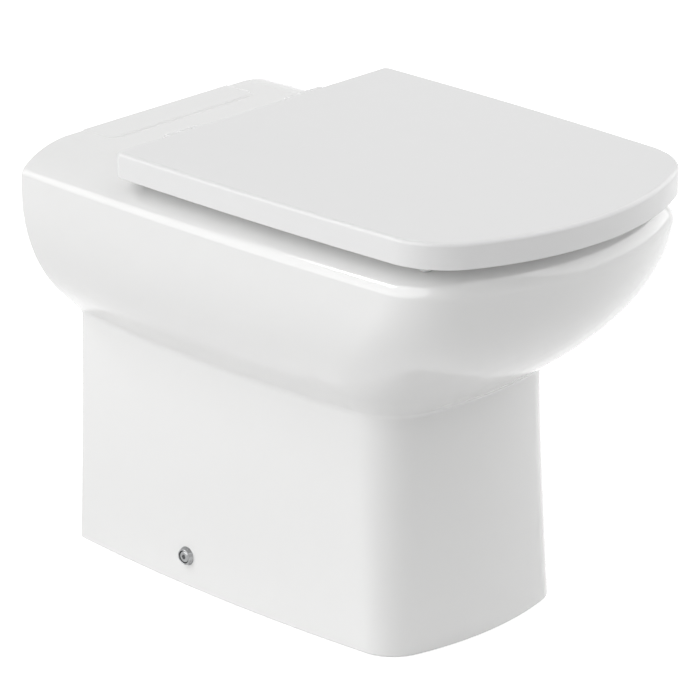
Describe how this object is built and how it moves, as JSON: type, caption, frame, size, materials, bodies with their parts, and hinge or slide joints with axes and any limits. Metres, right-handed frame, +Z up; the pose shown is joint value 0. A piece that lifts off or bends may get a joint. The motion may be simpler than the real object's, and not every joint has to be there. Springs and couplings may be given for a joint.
{
  "type": "toilet",
  "caption": "Back-to-wall floor-standing toilet pan with a bowed square front, horizontal outlet, hinged seat ring and flat lid.",
  "frame": {"origin": "on the floor, in the middle of the width and of the projection", "axes": "+Z up, front towards -Y, wall on +Y, left at -X"},
  "size_m": [0.355, 0.5549, 0.429],
  "materials": {
    "china": "glossy white glaze",
    "seat_plastic": "glossy white moulding",
    "lid_plastic": "glossy white moulding",
    "buffer_plastic": "soft satin white",
    "chrome": "polished",
    "steel": "zinc plated",
    "nylon": "natural nylon",
    "rubber": "matte black"
  },
  "bodies": {
    "pan": {"pan_casing": "china", "pan_underside": "china", "pedestal": "china", "bowl": "china", "trapway": "china", "flush_horn": "china", "flush_inlet_seal": "rubber", "left_hinge_bracket": "seat_plastic", "left_hinge_pad": "rubber", "left_hinge_stud": "steel", "left_hinge_sleeve": "nylon", "left_hinge_washer": "nylon", "left_hinge_nut": "steel", "left_hinge_pin": "steel", "left_floor_bracket": "steel", "left_fixing_screw": "chrome", "left_screw_cup": "chrome", "left_screw_sleeve": "nylon", "right_hinge_bracket": "seat_plastic", "right_hinge_pad": "rubber", "right_hinge_stud": "steel", "right_hinge_sleeve": "nylon", "right_hinge_washer": "nylon", "right_hinge_nut": "steel", "right_hinge_pin": "steel", "right_floor_bracket": "steel", "right_fixing_screw": "chrome", "right_screw_cup": "chrome", "right_screw_sleeve": "nylon"},
    "seat": {"seat_ring": "seat_plastic", "left_seat_bush": "nylon", "front_left_seat_buffer": "buffer_plastic", "rear_left_seat_buffer": "buffer_plastic", "right_seat_bush": "nylon", "front_right_seat_buffer": "buffer_plastic", "rear_right_seat_buffer": "buffer_plastic"},
    "lid": {"lid": "lid_plastic", "left_lid_bush": "nylon", "front_left_lid_buffer": "buffer_plastic", "rear_left_lid_buffer": "buffer_plastic", "right_lid_bush": "nylon", "front_right_lid_buffer": "buffer_plastic", "rear_right_lid_buffer": "buffer_plastic"}
  },
  "joints": [
    {"name": "seat_hinge", "type": "hinge", "parent": "pan", "child": "seat", "pos_m": [0, 0.1605, 0.4175], "axis": [-1, 0, 0], "range_deg": [0, 90]},
    {"name": "lid_hinge", "type": "hinge", "parent": "seat", "child": "lid", "pos_m": [0, 0.1605, 0.4175], "axis": [-1, 0, 0], "range_deg": [0, 90]}
  ]
}
